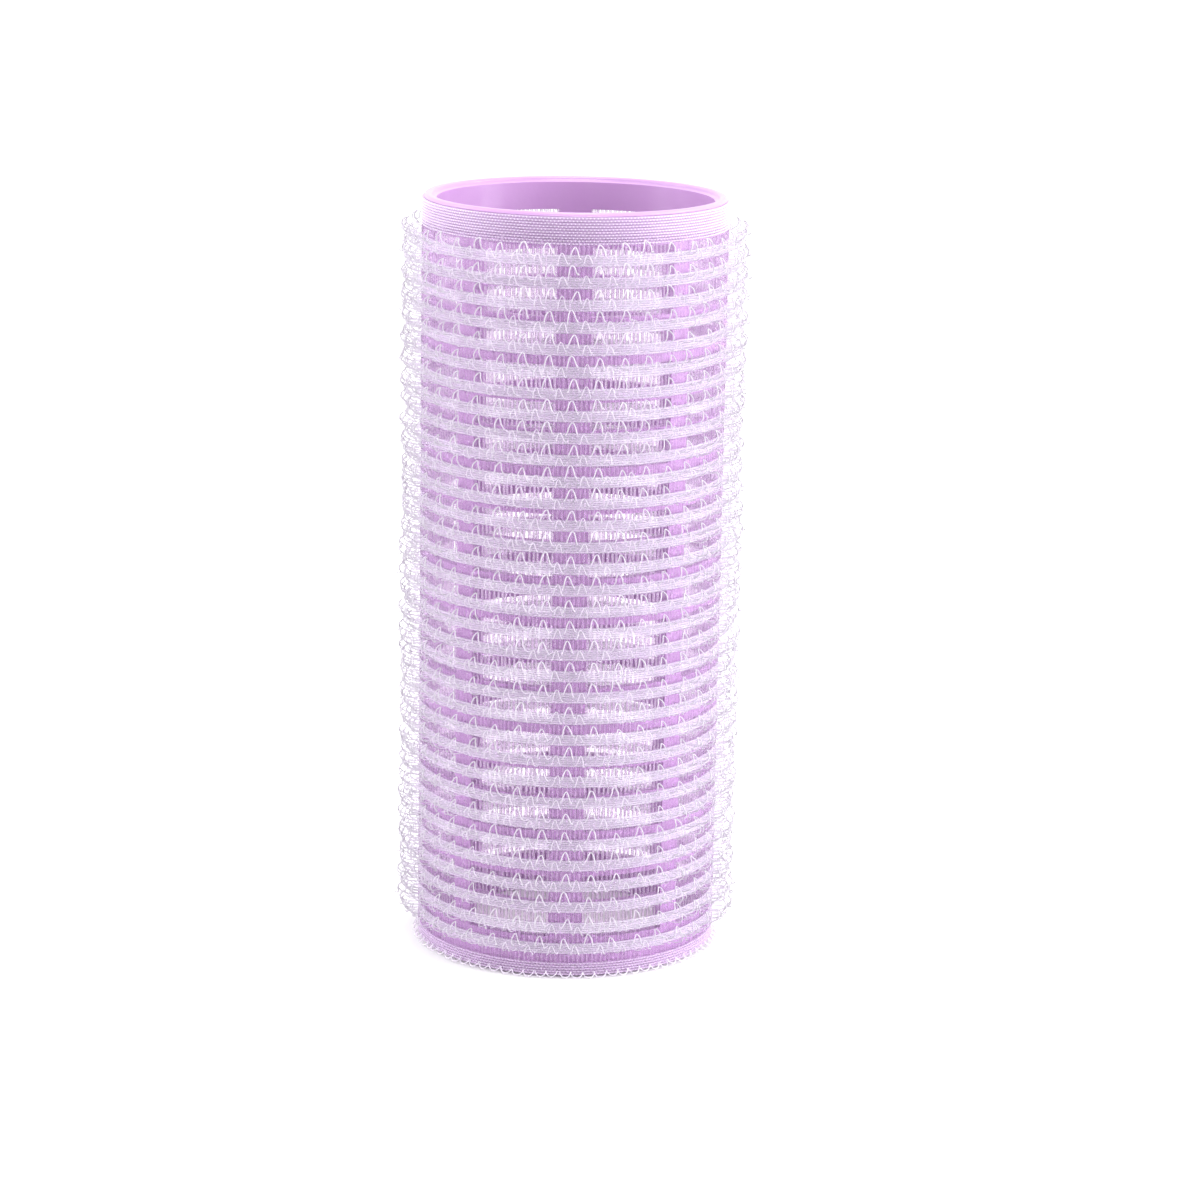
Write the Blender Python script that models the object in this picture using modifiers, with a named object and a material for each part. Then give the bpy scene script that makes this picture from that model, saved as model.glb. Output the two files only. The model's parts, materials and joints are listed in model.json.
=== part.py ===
"""Self-grip hair roller, standing on its lower end.

A plastic cage is moulded in one piece and wrapped once in a woven nylon
tape.  Rows of small hooks stand out of the tape all the way round, and the
two ends of the tape overlap in a narrow seam at the back.  Metres, +Z up,
origin at the middle of the lower end.
"""

import math

import bmesh
import bpy

MM = 0.001

# Plastic cage
LENGTH = 102.0 * MM
CAGE_RADIUS = 19.6 * MM
CAGE_WALL = 1.2 * MM
BOTTOM_RING = 5.4 * MM
TOP_RING_FROM = 97.6 * MM
HOOP_COUNT = 18
HOOP_HEIGHT = 1.3 * MM
HOOP_PITCH = 4.9 * MM
HOOP_TOP = 92.85 * MM
RIB_COUNT = 8
WIDE_RIB = math.radians(13.4)
NARROW_RIB = math.radians(9.0)
WINDOW_STEPS = 3
LIP_RADIUS = 20.05 * MM
LIP_INNER = 18.7 * MM
LIP_FROM = 101.55 * MM
LIP_RISE = 0.15 * MM

# Woven tape
TAPE_INNER = 19.9 * MM
GROUND_OUTER = 20.3 * MM
EDGE_OUTER = 20.5 * MM
TAPE_BOTTOM = 0.2 * MM
LOWER_EDGE_TOP = 1.8 * MM
UPPER_EDGE_FROM = 98.1 * MM
TAPE_TOP = 101.2 * MM
FIT_GAP = 0.3 * MM
TUBE_STEPS = 32

# Hook rows
ROW_COUNT = 33
ROW_PITCH = 2.875 * MM
FIRST_ROW_Z = 95.94 * MM
ROW_STEPS = 24
ROW_INNER = 20.7 * MM
ROW_OUTER = 23.2 * MM
ROW_FOOT = 1.5 * MM
ROW_SPREAD = 2.5 * MM
ROW_TIP = 1.3 * MM

# Overlap seam at the back
SEAM_WIDTH = 5.0 * MM
SEAM_INNER = 20.8 * MM
SEAM_THICKNESS = 0.5 * MM
SEAM_STEPS = 4


def clear_scene():
    """Empty the scene of objects."""
    for old in list(bpy.data.objects):
        bpy.data.objects.remove(old, do_unlink=True)


def new_collection(name):
    """Link a collection to the scene."""
    collection = bpy.data.collections.new(name)
    bpy.context.scene.collection.children.link(collection)
    return collection


def new_material(name, color, roughness, alpha=1.0):
    """Make a Principled material."""
    material = bpy.data.materials.new(name)
    material.use_nodes = True
    shader = material.node_tree.nodes["Principled BSDF"]
    shader.inputs["Base Color"].default_value = (*color, 1.0)
    shader.inputs["Roughness"].default_value = roughness
    shader.inputs["Metallic"].default_value = 0.0
    shader.inputs["Alpha"].default_value = alpha
    return material


def new_object(name, mesh, collection, material=None):
    """Put a mesh into the scene under a name."""
    piece = bpy.data.objects.new(name, mesh)
    collection.objects.link(piece)
    if material:
        mesh.materials.append(material)
    return piece


def rolled_sheet(name, angles, levels):
    """Roll a flat grid into an open cylinder wall.

    angles are the columns' directions, counted from +X.  levels are the
    rows, each a height and a radius.  A full turn closes on itself.
    """
    columns, rows = len(angles) - 1, len(levels) - 1
    sheet = bmesh.new()
    bmesh.ops.create_grid(sheet, x_segments=columns, y_segments=rows, size=0.5)
    for vert in sheet.verts:
        angle = angles[round((vert.co.x + 0.5) * columns)]
        height, radius = levels[round((vert.co.y + 0.5) * rows)]
        vert.co = (radius * math.cos(angle), radius * math.sin(angle), height)
    bmesh.ops.remove_doubles(sheet, verts=sheet.verts, dist=0.01 * MM)
    mesh = bpy.data.meshes.new(name)
    sheet.to_mesh(mesh)
    sheet.free()
    return mesh


def add_wall(piece, thickness, side):
    """Thicken an open surface, to its outer side with +1, inner with -1."""
    wall = piece.modifiers.new("Wall", "SOLIDIFY")
    wall.thickness = thickness
    wall.offset = side
    wall.use_even_offset = True


def turned_ring(name, profile, steps, collection, material=None):
    """Turn a closed profile about Z.  Its points run down the outer side."""
    outline = bmesh.new()
    points = [outline.verts.new((radius, 0.0, height)) for radius, height in profile]
    for start, end in zip(points, points[1:] + points[:1]):
        outline.edges.new((start, end))
    mesh = bpy.data.meshes.new(name)
    outline.to_mesh(mesh)
    outline.free()
    piece = new_object(name, mesh, collection, material)
    turn = piece.modifiers.new("Turn", "SCREW")
    turn.axis = "Z"
    turn.angle = math.tau
    turn.steps = steps
    turn.render_steps = steps
    turn.use_merge_vertices = True
    turn.merge_threshold = 0.00001
    turn.use_smooth_shade = True
    return piece


def tube(name, inner, outer, bottom, top, collection, material):
    """Make a plain tube."""
    profile = [(outer, top), (outer, bottom), (inner, bottom), (inner, top)]
    return turned_ring(name, profile, TUBE_STEPS, collection, material)


def cage_columns():
    """List the cage's column angles and which of them start a window."""
    angles, windows = [], set()
    for rib in range(RIB_COUNT):
        middle = math.tau * rib / RIB_COUNT
        half = 0.5 * (NARROW_RIB if rib % 2 else WIDE_RIB)
        half_next = 0.5 * (WIDE_RIB if rib % 2 else NARROW_RIB)
        start, end = middle + half, middle + math.tau / RIB_COUNT - half_next
        angles.append(middle - half)
        for step in range(WINDOW_STEPS):
            windows.add(len(angles))
            angles.append(start + (end - start) * step / WINDOW_STEPS)
    angles.append(angles[0] + math.tau)
    return angles, windows


def cage_levels():
    """List the cage's heights from the bottom up, and the window rows."""
    heights, windows = [0.0, BOTTOM_RING], [1]
    for hoop in reversed(range(HOOP_COUNT)):
        middle = HOOP_TOP - hoop * HOOP_PITCH
        heights.append(middle - 0.5 * HOOP_HEIGHT)
        windows.append(len(heights))
        heights.append(middle + 0.5 * HOOP_HEIGHT)
    heights += [TOP_RING_FROM, LENGTH - LIP_RISE]
    return [(height, CAGE_RADIUS) for height in heights], windows


def add_lip_ring(collection):
    """Make the flat bead that the cage's upper rim is joined to."""
    profile = [(LIP_RADIUS, LENGTH), (LIP_RADIUS, LIP_FROM),
               (LIP_INNER, LIP_FROM), (LIP_INNER, LENGTH)]
    ring = turned_ring("rim_lip", profile, TUBE_STEPS, collection)
    ring.hide_render = True
    ring.display_type = "WIRE"
    return ring


def add_cage(collection, lip, material):
    """Mould the cage: two end rings, hoops and ribs with windows between."""
    angles, window_columns = cage_columns()
    levels, window_rows = cage_levels()
    open_bands = [(levels[row][0], levels[row + 1][0]) for row in window_rows]
    open_arcs = [(angles[column], angles[column + 1]) for column in window_columns]
    mesh = rolled_sheet("core_cage", angles, levels)
    sheet = bmesh.new()
    sheet.from_mesh(mesh)
    windows = []
    for face in sheet.faces:
        middle = face.calc_center_median()
        angle = (math.atan2(middle.y, middle.x) - angles[0]) % math.tau + angles[0]
        in_row = any(low < middle.z < high for low, high in open_bands)
        in_column = any(low < angle < high for low, high in open_arcs)
        if in_row and in_column:
            windows.append(face)
    bmesh.ops.delete(sheet, geom=windows, context="FACES")
    sheet.to_mesh(mesh)
    sheet.free()
    cage = new_object("core_cage", mesh, collection, material)
    mesh.shade_smooth()
    add_wall(cage, CAGE_WALL, -1.0)
    rim = cage.modifiers.new("Rim lip", "BOOLEAN")
    rim.operation = "UNION"
    rim.solver = "EXACT"
    rim.object = lip
    return cage


def add_tape(collection, ground_material, edge_material):
    """Wrap the tape: its open ground and the two dense woven edges."""
    tube("tape_ground", TAPE_INNER, GROUND_OUTER, LOWER_EDGE_TOP + FIT_GAP,
         UPPER_EDGE_FROM - FIT_GAP, collection, ground_material)
    tube("upper_edge", TAPE_INNER, EDGE_OUTER, UPPER_EDGE_FROM, TAPE_TOP,
         collection, edge_material)
    tube("lower_edge", TAPE_INNER, EDGE_OUTER, TAPE_BOTTOM, LOWER_EDGE_TOP,
         collection, edge_material)


def add_seam_cutter(collection):
    """Make the box that opens the hook rows at the seam."""
    width = SEAM_WIDTH + 2.0 * FIT_GAP
    bpy.ops.mesh.primitive_cube_add(size=1.0)
    cutter = bpy.context.object
    cutter.name = "seam_cutter"
    cutter.scale = (width, 12.0 * MM, LENGTH + 10.0 * MM)
    cutter.location = (0.0, ROW_INNER, 0.5 * LENGTH)
    for home in list(cutter.users_collection):
        home.objects.unlink(cutter)
    collection.objects.link(cutter)
    cutter.hide_render = True
    cutter.display_type = "WIRE"
    return cutter


def add_hook_row(index, cutter, collection, material):
    """Make one woven band with its pile of hooks, open at the seam."""
    middle = FIRST_ROW_Z - index * ROW_PITCH
    spread_at = ROW_INNER + 0.4 * (ROW_OUTER - ROW_INNER)
    upper = [(ROW_INNER, 0.5 * ROW_FOOT), (spread_at, 0.5 * ROW_SPREAD),
             (ROW_OUTER, 0.5 * ROW_TIP)]
    profile = [(radius, middle + half) for radius, half in reversed(upper)]
    profile += [(radius, middle - half) for radius, half in upper]
    row = turned_ring(f"hook_row_{index + 1:02d}", profile, ROW_STEPS,
                      collection, material)
    gap = row.modifiers.new("Seam gap", "BOOLEAN")
    gap.operation = "DIFFERENCE"
    gap.solver = "EXACT"
    gap.object = cutter
    return row


def add_seam(collection, material):
    """Lay the overlapped end of the tape up the back."""
    half = 0.5 * SEAM_WIDTH / SEAM_INNER
    start, end = 0.5 * math.pi - half, 0.5 * math.pi + half
    angles = [start + (end - start) * step / SEAM_STEPS
              for step in range(SEAM_STEPS + 1)]
    levels = [(TAPE_BOTTOM + FIT_GAP, SEAM_INNER), (TAPE_TOP, SEAM_INNER)]
    mesh = rolled_sheet("lap_seam", angles, levels)
    seam = new_object("lap_seam", mesh, collection, material)
    mesh.shade_smooth()
    add_wall(seam, SEAM_THICKNESS, 1.0)
    return seam


def main():
    """Build the roller."""
    clear_scene()
    roller = new_collection("hair_roller")
    cutters = new_collection("cutters")
    plastic = new_material("lavender_plastic", (0.55, 0.33, 0.62), 0.35)
    ground = new_material("clear_nylon_ground", (0.86, 0.83, 0.9), 0.4, 0.5)
    edge = new_material("woven_edge", (0.82, 0.78, 0.87), 0.5)
    hooks = new_material("nylon_hooks", (0.9, 0.88, 0.92), 0.35, 0.6)
    add_cage(roller, add_lip_ring(cutters), plastic)
    add_tape(roller, ground, edge)
    cutter = add_seam_cutter(cutters)
    for index in range(ROW_COUNT):
        add_hook_row(index, cutter, roller, hooks)
    add_seam(roller, edge)


if __name__ == "__main__":
    main()
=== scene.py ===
"""Self-grip hair roller.

A lavender plastic cage, moulded in one piece, wrapped once in a woven nylon
tape.  Rows of fine monofilament hooks stand out of the tape's woven bands.
Metres, +Z up along the roller, -Y to the front.
"""

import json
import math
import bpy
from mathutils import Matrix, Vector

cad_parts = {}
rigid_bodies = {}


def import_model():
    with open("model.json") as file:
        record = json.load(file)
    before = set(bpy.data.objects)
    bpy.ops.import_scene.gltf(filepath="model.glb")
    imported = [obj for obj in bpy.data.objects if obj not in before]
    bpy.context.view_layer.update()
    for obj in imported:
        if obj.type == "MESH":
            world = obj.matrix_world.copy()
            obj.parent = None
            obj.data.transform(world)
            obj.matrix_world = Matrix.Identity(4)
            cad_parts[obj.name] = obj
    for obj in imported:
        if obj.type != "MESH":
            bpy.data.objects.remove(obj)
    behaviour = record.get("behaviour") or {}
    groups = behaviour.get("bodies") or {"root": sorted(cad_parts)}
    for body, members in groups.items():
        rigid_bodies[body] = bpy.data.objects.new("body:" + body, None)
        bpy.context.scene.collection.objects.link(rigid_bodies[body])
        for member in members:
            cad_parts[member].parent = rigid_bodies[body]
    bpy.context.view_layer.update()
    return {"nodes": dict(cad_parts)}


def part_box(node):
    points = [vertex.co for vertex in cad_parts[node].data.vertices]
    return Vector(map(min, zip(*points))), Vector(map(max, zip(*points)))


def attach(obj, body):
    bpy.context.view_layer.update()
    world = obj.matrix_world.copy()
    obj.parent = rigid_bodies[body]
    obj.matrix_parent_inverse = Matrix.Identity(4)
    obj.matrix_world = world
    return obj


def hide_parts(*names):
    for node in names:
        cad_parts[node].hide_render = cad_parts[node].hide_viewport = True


bl_info = {
    "name": "Self-Grip Hair Roller",
    "version": (1, 0, 0),
    "blender": (4, 5, 0),
    "location": "View3D > Sidebar > Roller",
    "description": "Builds a moulded roller cage and the hook tape woven round it",
    "category": "Add Mesh",
}

import bmesh
import bpy
from mathutils import Matrix, Vector

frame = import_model()

BODY = "root"
TAPE = "tape_threads"
MM = 0.001
HOOK_NODES = sorted(name for name in frame["nodes"] if name.startswith("hook_row_"))
BACK = 0.5 * math.pi


def settings_of(part):
    """Give the settings group of one part of the roller."""
    return getattr(bpy.context.scene, "roller_" + part)


def node_span(node):
    """Give a CAD node's lowest and highest Z."""
    low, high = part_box(node)
    return low[2], high[2]


def node_middle(node):
    """Give the Z of a CAD node's middle."""
    low, high = node_span(node)
    return 0.5 * (low + high)


LOWER_END, UPPER_END = node_span("core_cage")
ROW_HEIGHTS = [node_middle(name) for name in HOOK_NODES]
ROW_PITCH = (ROW_HEIGHTS[0] - ROW_HEIGHTS[-1]) / (len(ROW_HEIGHTS) - 1)


# ---------------------------------------------------------------- settings

def size_setting(name, description, millimetres):
    """Give a length setting, from millimetres."""
    return bpy.props.FloatProperty(name=name, description=description,
                                   default=millimetres * MM, unit="LENGTH")


def number_setting(name, description, number):
    """Give a setting for a plain number."""
    return bpy.props.FloatProperty(name=name, description=description, default=number)


def count_setting(name, description, count):
    """Give a setting for a whole number."""
    return bpy.props.IntProperty(name=name, description=description, default=count)


def angle_setting(name, description, radians):
    """Give an angle setting."""
    return bpy.props.FloatProperty(name=name, description=description,
                                   default=radians, subtype="ANGLE")


def share_setting(name, description, share):
    """Give a setting that goes from 0 to 1."""
    return bpy.props.FloatProperty(name=name, description=description,
                                   default=share, min=0.0, max=1.0)


def colour_setting(name, description, colour):
    """Give a colour setting."""
    return bpy.props.FloatVectorProperty(
        name=name, description=description, default=colour, subtype="COLOR", size=3,
        min=0.0, max=1.0)


class CageSettings(bpy.types.PropertyGroup):
    """Sizes of the moulded plastic cage."""

    radius: size_setting("Radius", "Outer radius of the barrel", 19.6)
    wall: size_setting("Wall", "Thickness of the moulding", 1.2)
    lip_radius: size_setting(
        "Lip Radius", "Outer radius of the lip round the upper rim", 20.05)
    rim_width: size_setting("Rim Width", "Width of the rim's upper face", 1.15)
    rim_round: size_setting(
        "Rim Rounding", "Rounding of the rim's two upper edges", 0.42)
    lip_height: size_setting(
        "Lip Height", "Height of the lip round the upper rim", 0.45)
    lower_ring: size_setting(
        "Lower Ring", "Height of the plain ring at the lower end", 5.4)
    upper_ring: size_setting(
        "Upper Ring", "Height of the plain ring at the upper end", 4.4)
    hoops: count_setting("Hoops", "Number of hoops between the two rings", 18)
    hoop_height: size_setting("Hoop Height", "Height of one hoop", 1.3)
    hoop_pitch: size_setting("Hoop Pitch", "Distance from one hoop to the next", 4.9)
    top_hoop: size_setting("Top Hoop", "Height of the uppermost hoop's middle", 92.85)
    ribs: count_setting("Ribs", "Number of ribs, wide and narrow in turn", 8)
    wide_rib: angle_setting(
        "Wide Rib", "Angle that a wide rib takes", math.radians(13.4))
    narrow_rib: angle_setting(
        "Narrow Rib", "Angle that a narrow rib takes", math.radians(9.0))
    edge_round: size_setting("Edge Rounding", "Rounding of the moulding's edges", 0.2)


class TapeSettings(bpy.types.PropertyGroup):
    """Sizes of the woven tape's threads."""

    radius: size_setting("Radius", "Radius of the tape's middle layer", 20.12)
    cross_threads: count_setting(
        "Cross Threads", "Threads that run along the roller", 208)
    cross_width: size_setting("Cross Thread Width", "Thickness of a cross thread", 0.41)
    band_threads: count_setting(
        "Band Threads", "Threads side by side in one woven band", 5)
    band_spacing: size_setting(
        "Band Thread Spacing", "Distance between a band's threads", 0.29)
    band_width: size_setting("Band Thread Width", "Thickness of a band's thread", 0.4)
    weave: size_setting("Weave Depth", "How far a thread swings in and out", 0.035)
    edge_spacing: size_setting(
        "Edge Thread Spacing", "Thread spacing in the dense edges", 0.36)
    edge_width: size_setting(
        "Edge Thread Width", "Thread thickness in the dense edges", 0.34)
    lap_width: size_setting("Lap Width", "Width of the welded overlap at the back", 5.0)


class HookSettings(bpy.types.PropertyGroup):
    """Sizes of the hooks."""

    root_radius: size_setting(
        "Root Radius", "Radius at which the hooks leave the tape", 20.35)
    root_rise: size_setting(
        "Root Rise", "Height of the roots over the band's middle", 0.45)
    reach: size_setting("Reach", "How far a hook stands out of the tape", 2.75)
    rise: size_setting("Rise", "How far a hook's top lies above its root", 2.05)
    foot: size_setting("Foot", "Distance between a loop's two roots", 1.7)
    per_row: count_setting("Loops in a Row", "Loops round the roller in one row", 44)
    thickness: size_setting("Thickness", "Thickness of the monofilament", 0.18)
    lean: angle_setting(
        "Lean", "Largest tilt of a loop away from its neighbours", math.radians(7.0))
    seed: count_setting("Seed", "Start of the hooks' small differences", 7)


class FinishSettings(bpy.types.PropertyGroup):
    """Colours and gloss of the roller's materials."""

    plastic: colour_setting(
        "Plastic", "Colour of the moulded cage", (0.40, 0.222, 0.45))
    plastic_roughness: share_setting(
        "Plastic Roughness", "Roughness of the moulded cage", 0.42)
    # The thread bed colour is painted shade and painted lavender bounce light: darker
    # and more lavender where a thread dips towards the plastic. The crown is the
    # nylon's own pale colour.
    bed: colour_setting(
        "Shaded Thread Bed", "Colour of a thread where it dips into the weave",
        (0.76, 0.685, 0.83))
    crown: colour_setting(
        "Thread Crown", "Colour of a thread where it stands proud", (0.92, 0.885, 0.97))
    # Painted shade and painted lavender bounce light: the dense edges are darker and
    # more lavender between their raised crossings.
    shaded_edge_bed: colour_setting(
        "Shaded Edge Bed", "Colour of an edge thread where it dips into the weave",
        (0.76, 0.60, 0.83))
    cross_tint: colour_setting(
        "Cross Tint", "Colour of the threads that run along the roller",
        (0.87, 0.71, 0.92))
    hook_root: colour_setting(
        "Hook Root", "Colour of a hook at its root", (0.84, 0.765, 0.89))
    # Painted shade: the hooks darken from their root to their top, so the loops that
    # stand out against the bright room look grey. The root colour is the nylon's own.
    shaded_hook_tip: colour_setting(
        "Shaded Hook Tip", "Colour of a hook at its top", (0.53, 0.50, 0.56))
    band_cover: share_setting(
        "Band Cover", "How much a band thread hides behind it", 0.35)
    cross_cover: share_setting(
        "Cross Cover", "How much a cross thread hides behind it", 0.6)
    edge_cover: share_setting(
        "Edge Cover", "How much a proud edge thread hides behind it", 0.45)
    hook_cover: share_setting("Hook Cover", "How much a hook hides behind it", 0.8)


class StageSettings(bpy.types.PropertyGroup):
    """Camera, floor and light."""

    distance: size_setting(
        "Distance", "Level distance from the roller's axis to the camera", 480.0)
    height: size_setting("Height", "Camera height above the floor", 161.6)
    pitch: angle_setting("Pitch", "How far the camera looks down", 0.2346)
    turn: angle_setting("Turn", "How far the camera looks to the right", 0.00854)
    roll: angle_setting("Roll", "How far the camera tips sideways", 0.01738)
    lens: number_setting("Lens", "Focal length in millimetres", 109.18)
    room_light: number_setting(
        "Room Light", "Strength of the even light all round", 1.47)
    right_light: number_setting(
        "Right Light", "Power of the large light at the right", 6.8)
    left_light: number_setting(
        "Left Light", "Power of the large light at the left", 3.6)
    top_light: number_setting("Top Light", "Power of the soft light overhead", 1.5)


# ------------------------------------------------------------ node helpers

# Where a node has sockets of one name for several kinds: first, second, result.
RANDOM_SOCKETS = {"FLOAT": (2, 3, 1), "INT": (4, 5, 2)}
COLOUR_SOCKETS = (6, 7, 2)
SOCKET_WORDS = {float: "Float", int: "Int", tuple: "Color"}


def put(tree, kind, sockets=None, **settings):
    """Add a node to a tree, set it up and join or fill its inputs."""
    node = tree.nodes.new(kind)
    for key, value in settings.items():
        setattr(node, key, value)
    for key, value in (sockets or {}).items():
        target = node.inputs[key]
        if isinstance(value, bpy.types.NodeSocket):
            tree.links.new(value, target)
        else:
            target.default_value = value
    return node


def maths(tree, operation, first, second=0.0):
    """Work out a number from one or two others and give its socket."""
    node = put(tree, "ShaderNodeMath", {0: first, 1: second}, operation=operation)
    return node.outputs[0]


def add_scaled(tree, base, value, factor):
    """Add a value times a factor to a number and give the result's socket."""
    return maths(tree, "ADD", base, maths(tree, "MULTIPLY", value, factor))


def point(tree, across=0.0, along=0.0, height=0.0):
    """Put three numbers together and give the vector's socket."""
    node = put(tree, "ShaderNodeCombineXYZ", {0: across, 1: along, 2: height})
    return node.outputs[0]


def mixed(tree, share, first, second):
    """Mix two colours and give the result's socket."""
    low, high, result = COLOUR_SOCKETS
    node = put(tree, "ShaderNodeMix", {"Factor": share, low: first, high: second},
               data_type="RGBA")
    return node.outputs[result]


def new_group(name, kind, inputs, outputs):
    """Make a node group with named inputs and outputs.

    An input is given by its default, or by the word for its kind where it has none.
    """
    tree = bpy.data.node_groups.new(name, kind)
    for label, value in inputs.items():
        word = value if isinstance(value, str) else SOCKET_WORDS[type(value)]
        item = tree.interface.new_socket(label, in_out="INPUT",
                                         socket_type="NodeSocket" + word)
        if word != value:
            item.default_value = value
    for label, word in outputs.items():
        tree.interface.new_socket(label, in_out="OUTPUT",
                                  socket_type="NodeSocket" + word)
    given = tree.nodes.new("NodeGroupInput").outputs
    result = tree.nodes.new("NodeGroupOutput").inputs
    return tree, given, result


def group(name, maker, *needs):
    """Find a node group by name, or make it."""
    return bpy.data.node_groups.get(name) or maker(*needs)


# --------------------------------------------------------- geometry groups

THREAD_SIDES = 4
BAND_SCATTER = 0.12  # share of a step that a band's threads are off
LOOP_ANGLE_SCATTER = 0.008  # radians
LOOP_HEIGHT_SCATTER = 0.08 * MM

# Numbers added to a group's seed, so that its random draws differ.
DRAW_BAND_TURN, DRAW_THREAD_ANGLE = 3, 11
DRAW_LOOP_ANGLE, DRAW_LOOP_HEIGHT, DRAW_LOOP_SHAPE = 5, 9, 41
DRAW_LOOP_LEAN, DRAW_LOOP_SIZE = (21, 22), (31, 32, 33)

# A row's two sets of loops: smallest and largest size, and what the seed is raised by.
TALL_LOOPS = (0.9, 1.05, 0.0)
SHORT_LOOPS = (0.7, 0.88, 500.0)


def seeded(tree, given, low, high, draw, kind="FLOAT"):
    """Give a random number for each point, from the group's seed."""
    first, second, result = RANDOM_SOCKETS[kind]
    seed = maths(tree, "ADD", given["Seed"], float(draw))
    node = put(tree, "FunctionNodeRandomValue",
               {first: low, second: high, "Seed": seed}, data_type=kind)
    return node.outputs[result]


def on_circle(tree, radius, angle, height):
    """Give a point from its radius, angle and height."""
    across = maths(tree, "MULTIPLY", radius, maths(tree, "COSINE", angle))
    along = maths(tree, "MULTIPLY", radius, maths(tree, "SINE", angle))
    return point(tree, across, along, height)


def woven_line(tree, steps):
    """Give a line's points, their numbers and how each swings to one side in turn."""
    line = put(tree, "GeometryNodeCurvePrimitiveLine")
    points = put(tree, "GeometryNodeResampleCurve",
                 {"Curve": line.outputs[0], "Count": maths(tree, "ADD", steps, 1.0)},
                 mode="COUNT")
    index = put(tree, "GeometryNodeInputIndex").outputs[0]
    swing = maths(tree, "COSINE", maths(tree, "MULTIPLY", index, math.pi))
    return points.outputs[0], index, swing


def thread_mesh(tree, curve, width):
    """Thicken a curve into a round thread with closed ends."""
    ring = put(tree, "GeometryNodeCurvePrimitiveCircle",
               {"Resolution": THREAD_SIDES,
                "Radius": maths(tree, "MULTIPLY", width, 0.5)})
    mesh = put(tree, "GeometryNodeCurveToMesh",
               {"Curve": curve, "Profile Curve": ring.outputs[0], "Fill Caps": True})
    return put(tree, "GeometryNodeSetShadeSmooth", {0: mesh.outputs[0]}).outputs[0]


def spread_points(tree, given, count):
    """Give points to be spread evenly over the sweep, and the angle of each."""
    points = put(tree, "GeometryNodePoints", {"Count": given[count]})
    place = put(tree, "GeometryNodeInputIndex").outputs[0]
    share = maths(tree, "DIVIDE", place, given[count])
    return points.outputs[0], add_scaled(tree, given["Start"], share, given["Sweep"])


def finish_group(tree, copies, material, result):
    """End a group: make the copies real and give them their material."""
    solid = put(tree, "GeometryNodeRealizeInstances", {0: copies})
    paint = put(tree, "GeometryNodeSetMaterial",
                {"Geometry": solid.outputs[0], "Material": material})
    tree.links.new(paint.outputs[0], result)


def make_band_group():
    """Weave threads that run round the roller, side by side in a band."""
    tree, given, result = new_group("Woven Band", "GeometryNodeTree", {
        "Radius": 0.02, "Middle": 0.0, "Threads": 5, "Spacing": 0.0003,
        "Crossings": 282, "Weave": 0.0001, "Width": 0.0002, "Start": 0.0,
        "Sweep": math.tau, "Seed": 1, "Material": "Material",
    }, {"Geometry": "Geometry"})
    points, index, swing = woven_line(tree, given["Crossings"])
    step = maths(tree, "DIVIDE", given["Sweep"], given["Crossings"])
    angle = add_scaled(tree, given["Start"], index, step)
    radius = add_scaled(tree, given["Radius"], given["Weave"], swing)
    path = put(tree, "GeometryNodeSetPosition",
               {"Geometry": points, "Position": on_circle(tree, radius, angle, 0.0)})
    level = put(tree, "GeometryNodeSetCurveNormal", {"Curve": path.outputs[0]},
                mode="Z_UP")
    thread = thread_mesh(tree, level.outputs[0], given["Width"])
    stack = put(tree, "GeometryNodePoints", {"Count": given["Threads"]})
    place = put(tree, "GeometryNodeInputIndex").outputs[0]
    half = maths(tree, "MULTIPLY", maths(tree, "SUBTRACT", given["Threads"], 1.0), 0.5)
    height = add_scaled(tree, given["Middle"], maths(tree, "SUBTRACT", place, half),
                        given["Spacing"])
    raised = put(tree, "GeometryNodeSetPosition",
                 {"Geometry": stack.outputs[0], "Position": point(tree, height=height)})
    odd = maths(tree, "MULTIPLY", maths(tree, "MODULO", place, 2.0), step)
    scatter = seeded(tree, given, -BAND_SCATTER, BAND_SCATTER, DRAW_BAND_TURN)
    turn = point(tree, height=add_scaled(tree, odd, step, scatter))
    copies = put(tree, "GeometryNodeInstanceOnPoints",
                 {"Points": raised.outputs[0], "Instance": thread, "Rotation": turn})
    finish_group(tree, copies.outputs[0], given["Material"], result[0])
    return tree


def make_cross_group():
    """Lay threads along the roller, side by side all the way round."""
    tree, given, result = new_group("Cross Threads", "GeometryNodeTree", {
        "Radius": 0.02, "Bottom": 0.0, "Top": 0.1, "First": 0.0, "Half Pitch": 0.00145,
        "Steps": 72, "Threads": 282, "Weave": 0.0001, "Width": 0.0002, "Wander": 0.003,
        "Start": 0.0, "Sweep": math.tau, "Seed": 1, "Material": "Material",
    }, {"Geometry": "Geometry"})
    points, index, swing = woven_line(tree, given["Steps"])
    rise = add_scaled(tree, given["First"], index, given["Half Pitch"])
    height = maths(tree, "MINIMUM", maths(tree, "MAXIMUM", rise, given["Bottom"]),
                   given["Top"])
    radius = maths(tree, "SUBTRACT", given["Radius"],
                   maths(tree, "MULTIPLY", given["Weave"], swing))
    path = put(tree, "GeometryNodeSetPosition",
               {"Geometry": points, "Position": on_circle(tree, radius, 0.0, height)})
    thread = thread_mesh(tree, path.outputs[0], given["Width"])
    spots, angle = spread_points(tree, given, "Threads")
    less = maths(tree, "MULTIPLY", given["Wander"], -1.0)
    angle = maths(tree, "ADD", angle,
                  seeded(tree, given, less, given["Wander"], DRAW_THREAD_ANGLE))
    copies = put(tree, "GeometryNodeInstanceOnPoints",
                 {"Points": spots, "Instance": thread,
                  "Rotation": point(tree, height=angle)})
    finish_group(tree, copies.outputs[0], given["Material"], result[0])
    return tree


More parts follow.
